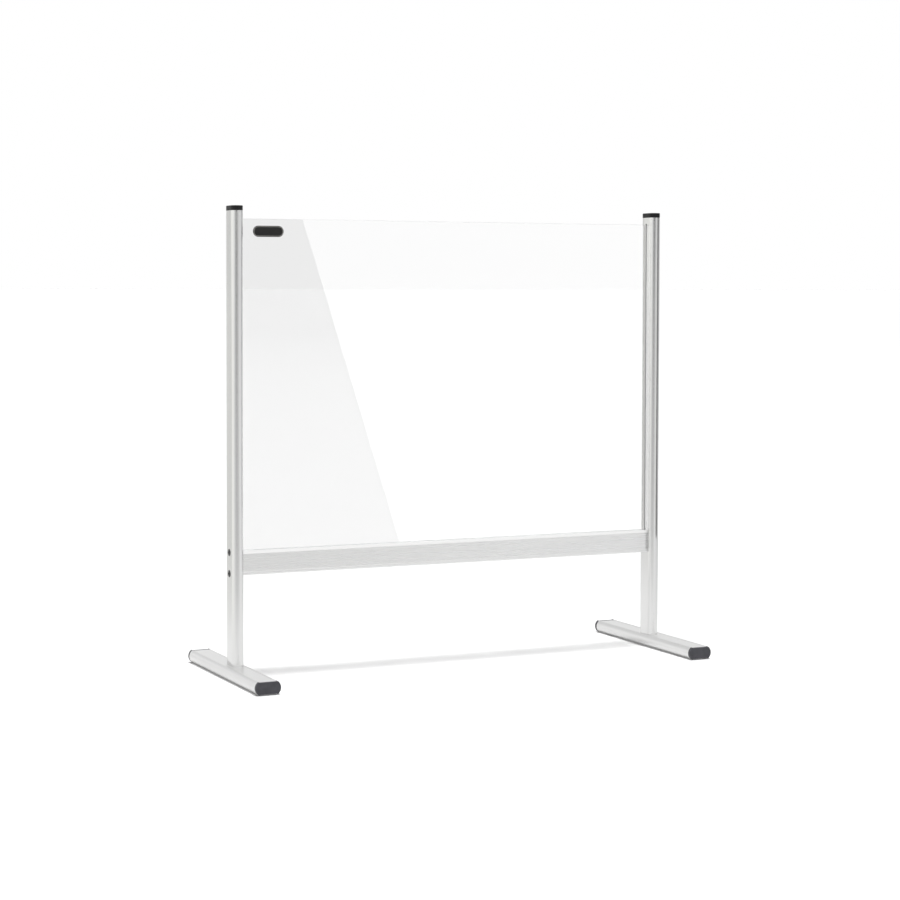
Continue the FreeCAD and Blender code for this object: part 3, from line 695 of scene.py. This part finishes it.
def sheet(name, corners, material):
    """A flat card of the stage, through its corners in order."""
    mesh = bpy.data.meshes.new(name)
    mesh.from_pydata(corners, [], [tuple(range(len(corners)))])
    mesh.materials.append(material)
    made = bpy.data.objects.new(name, mesh)
    bpy.context.scene.collection.objects.link(made)
    return made


# the table goes on past the horizon; what the eye sees is white, and fades a little far away
far = 400.0
table_corners = [(-far, -far, 0), (far, -far, 0), (far, far, 0), (-far, far, 0)]
laminate, tree, out = blank("white_table_laminate")
place = add(tree, "ShaderNodeTexCoord").outputs["Object"]
away = add(tree, "ShaderNodeVectorMath", {0: place}, operation="LENGTH")
fade = add(
    tree, "ShaderNodeMapRange", {"Value": away.outputs["Value"], "From Min": 2.0, "From Max": 30.0}
)
tone = add(tree, "ShaderNodeValToRGB", {"Fac": fade.outputs[0]})
tone.color_ramp.elements[0].color = linear("#f5f5f5")
tone.color_ramp.elements[1].color = linear("#ededed")
# a ray that comes off metal and then goes through the panel sees it at full white
path = add(tree, "ShaderNodeLightPath")
off_metal = add(
    tree, "ShaderNodeMath", {0: path.outputs["Glossy Depth"], 1: 0.5}, operation="GREATER_THAN"
)
# inputs 6 and 7 of a Mix node, and its output 2, are the ones for colour
shade = add(
    tree,
    "ShaderNodeMix",
    {"Factor": off_metal.outputs[0], 6: tone.outputs[0], 7: (1, 1, 1, 1)},
    data_type="RGBA",
)
matt = add(tree, "ShaderNodeBsdfDiffuse", {"Color": shade.outputs[2]})
tree.links.new(matt.outputs[0], out.inputs["Surface"])
table = sheet("white_table", table_corners, laminate)
table.visible_glossy = table.visible_shadow = False


def card_ramp(tree, direction, stops):
    """A ramp of greys by compass bearing, in degrees from +Y towards +X, with the bearing taken from
    a direction's X and Y. A stop is its bearing, its grey and how much warmer that grey is."""
    way = add(tree, "ShaderNodeSeparateXYZ", {0: direction})
    turned = add(
        tree, "ShaderNodeMath", {0: way.outputs["X"], 1: way.outputs["Y"]}, operation="ARCTAN2"
    )
    bearing = add(
        tree,
        "ShaderNodeMapRange",
        {"Value": turned.outputs[0], "From Min": -math.pi, "From Max": math.pi},
    )
    ramp = add(tree, "ShaderNodeValToRGB", {"Fac": bearing.outputs[0]})
    while len(ramp.color_ramp.elements) < len(stops):
        ramp.color_ramp.elements.new(0.5)
    for stop, (degrees, grey, warmth) in zip(ramp.color_ramp.elements, stops):
        stop.position = (degrees + 180) / 360
        stop.color = (grey, grey, grey * (1 - warmth), 1)
    return ramp


# what metal and panel mirror is a table that takes up the room's greys away from the screen, from
# 0.6 m out to 2.2 m, which are the two powers of ten below
mirrored_grey, tree, out = blank("table_in_reflections")
place = add(tree, "ShaderNodeTexCoord").outputs["Object"]
table_greys = [
    (-180, 0.52, 0), (-140, 0.48, 0), (-116, 0.66, 0), (-95, 0.85, 0.03), (-65, 0.88, 0.03),
    (-48, 0.64, 0.03), (-22, 0.64, 0.02), (5, 0.72, 0), (21, 0.7, 0), (30, 0.3, 0), (60, 0.4, 0),
    (96, 0.62, -0.02), (131, 0.72, -0.02), (152, 0.78, 0), (167, 0.62, 0),
]
greys = card_ramp(tree, place, table_greys)
away = add(tree, "ShaderNodeVectorMath", {0: place}, operation="LENGTH")
steps = add(tree, "ShaderNodeMath", {0: away.outputs["Value"], 1: 10.0}, operation="LOGARITHM")
fade = add(
    tree, "ShaderNodeMapRange", {"Value": steps.outputs[0], "From Min": -0.2, "From Max": 0.35}
)
shade = add(
    tree,
    "ShaderNodeMix",
    {"Factor": fade.outputs[0], 6: (0.84, 0.84, 0.84, 1), 7: greys.outputs[0]},
    data_type="RGBA",
)
matt = add(tree, "ShaderNodeBsdfDiffuse", {"Color": shade.outputs[2]})
tree.links.new(matt.outputs[0], out.inputs["Surface"])
mirrored = sheet("mirrored_table", table_corners, mirrored_grey)
mirrored.visible_camera = mirrored.visible_diffuse = False
mirrored.visible_shadow = mirrored.visible_transmission = False

# the lit card in front of the screen, which adds its light to what the panel mirrors: its left
# edge slants, and is further left at the top
card_glow, tree, out = blank("bright_card_glow")
glow = add(tree, "ShaderNodeEmission", {"Strength": 3.4})
through = add(tree, "ShaderNodeBsdfTransparent")
both = add(tree, "ShaderNodeAddShader", {0: glow.outputs[0], 1: through.outputs[0]})
tree.links.new(both.outputs[0], out.inputs["Surface"])
card_y, card_low, card_high, card_right = -1.2, 0.06, 0.96, 1.2
edge_low, edge_high = 0.422, 0.131
corners = [
    (edge_high, card_y, card_high),
    (edge_low, card_y, card_low),
    (card_right, card_y, card_low),
    (card_right, card_y, card_high),
]
card = sheet("bright_card", corners, card_glow)
card.visible_camera = card.visible_diffuse = card.visible_shadow = card.visible_transmission = False
lit_by_card = bpy.data.collections.new("lit_by_the_bright_card")
lit_by_card.objects.link(panel)
card.light_linking.receiver_collection = lit_by_card

# a dark card close on the right darkens the right-hand edge of the right-hand post
flag_x, flag_front, flag_back, flag_low, flag_high = 0.56, -0.14, -0.036, 0.22, 1.1
felt, tree, out = blank("dark_card_felt")
dim = add(tree, "ShaderNodeEmission", {"Strength": 0.25})
tree.links.new(dim.outputs[0], out.inputs["Surface"])
corners = [
    (flag_x, flag_front, flag_low),
    (flag_x, flag_back, flag_low),
    (flag_x, flag_back, flag_high),
    (flag_x, flag_front, flag_high),
]
flag = sheet("dark_card", corners, felt)
flag.visible_camera = flag.visible_diffuse = flag.visible_shadow = flag.visible_transmission = False

world = bpy.data.worlds.new("pale_room")
bpy.context.scene.world = world
world.use_nodes = True
room = world.node_tree
room.nodes.clear()
path = add(room, "ShaderNodeLightPath")
# the white and grey cards that stand around the table
room_greys = [
    (-180, 0.1, 0), (-165, 0.0, 0), (-148, 0.0, 0), (-136, 0.28, 0), (-120, 0.7, 0),
    (-98, 0.86, 0.03), (-60, 0.93, 0.03), (-30, 0.8, 0.03), (-23, 0.52, 0.02), (5, 0.8, 0),
    (21, 0.74, 0), (30, 0.4, 0), (60, 0.5, 0), (96, 0.55, -0.02), (131, 0.56, -0.02),
    (150, 0.54, 0), (162, 0.44, 0),
]
direction = add(room, "ShaderNodeTexCoord").outputs["Generated"]
cards = card_ramp(room, direction, room_greys)
where = add(room, "ShaderNodeSeparateXYZ", {0: direction})
# higher up, the room is bright in front of the screen, and behind it grows greyer with height
rising = add(
    room,
    "ShaderNodeMapRange",
    {"Value": where.outputs["Z"], "From Min": 0.12, "From Max": 0.35, "To Min": 1.05, "To Max": 0.6},
)
behind = add(
    room,
    "ShaderNodeMapRange",
    {
        "Value": where.outputs["Y"],
        "From Min": -0.2,
        "From Max": 0.2,
        "To Min": 1.05,
        "To Max": rising.outputs[0],
    },
)
lower = add(
    room, "ShaderNodeMapRange", {"Value": where.outputs["Z"], "From Min": 0.05, "From Max": 0.14}
)
upper = add(
    room, "ShaderNodeMapRange", {"Value": where.outputs["Z"], "From Min": 0.5, "From Max": 0.75}
)
wall = add(
    room,
    "ShaderNodeMix",
    {"Factor": lower.outputs[0], 6: cards.outputs[0], 7: behind.outputs[0]},
    data_type="RGBA",
)
seen = add(
    room,
    "ShaderNodeMix",
    {"Factor": upper.outputs[0], 6: wall.outputs[2], 7: (0.96, 0.96, 0.96, 1)},
    data_type="RGBA",
)
# seen directly the room is white, metal shows its greys, and matt surfaces get a weak even light
direct = add(room, "ShaderNodeBackground", {"Color": linear("#ffffff"), "Strength": 1.0})
# a ray that has also come through the tinted panel is given back what the tint took
strength = add(
    room,
    "ShaderNodeMapRange",
    {"Value": path.outputs["Is Transmission Ray"], "To Min": 1.3, "To Max": 1.65},
)
glossy = add(
    room, "ShaderNodeBackground", {"Color": seen.outputs[2], "Strength": strength.outputs[0]}
)
ambient = add(room, "ShaderNodeBackground", {"Color": linear("#ffffff"), "Strength": 0.2})
off_metal = add(
    room, "ShaderNodeMath", {0: path.outputs["Glossy Depth"], 1: 0.5}, operation="GREATER_THAN"
)
in_view = add(
    room, "ShaderNodeMixShader", {0: off_metal.outputs[0], 1: direct.outputs[0], 2: glossy.outputs[0]}
)
lighting = add(
    room,
    "ShaderNodeMixShader",
    {0: path.outputs["Is Diffuse Ray"], 1: in_view.outputs[0], 2: ambient.outputs[0]},
)
add(room, "ShaderNodeOutputWorld", {"Surface": lighting.outputs[0]})

# the lamp is a little in front and to the left, so shadows fall just behind and to the right
lamp = bpy.data.lights.new("overhead_soft_lamp", "SUN")
lamp.energy, lamp.angle = 3.1, math.radians(24)
overhead = bpy.data.objects.new("overhead_soft_lamp", lamp)
overhead.rotation_euler = (math.radians(8.4), math.radians(-4), 0)
overhead.visible_glossy = False
bpy.context.scene.collection.objects.link(overhead)

# the camera stands to the left of the screen, above its middle, looking slightly down
stand = (-1.8541, -3.951, 0.7615)
yaw, pitch, roll = (math.radians(a) for a in (25.09, 2.35, 0.13))
right_way = np.array([math.cos(yaw), -math.sin(yaw), 0])
ahead_way = np.array(
    [math.sin(yaw) * math.cos(pitch), math.cos(yaw) * math.cos(pitch), -math.sin(pitch)]
)
up_way = np.cross(right_way, ahead_way)
lens = bpy.data.cameras.new("camera")
lens.sensor_width, lens.lens = 36, 86.44
lens.shift_x, lens.shift_y = 0.0, -0.0841
camera = bpy.data.objects.new("camera", lens)
bpy.context.scene.collection.objects.link(camera)
bpy.context.scene.camera = camera
pose = np.eye(4)
pose[:3, 0] = math.cos(roll) * right_way + math.sin(roll) * up_way
pose[:3, 1] = -math.sin(roll) * right_way + math.cos(roll) * up_way
pose[:3, 2] = -ahead_way
pose[:3, 3] = stand
# Blender takes the matrix column by column
camera.matrix_world = pose.T.tolist()
bpy.context.scene.view_settings.view_transform = "Standard"
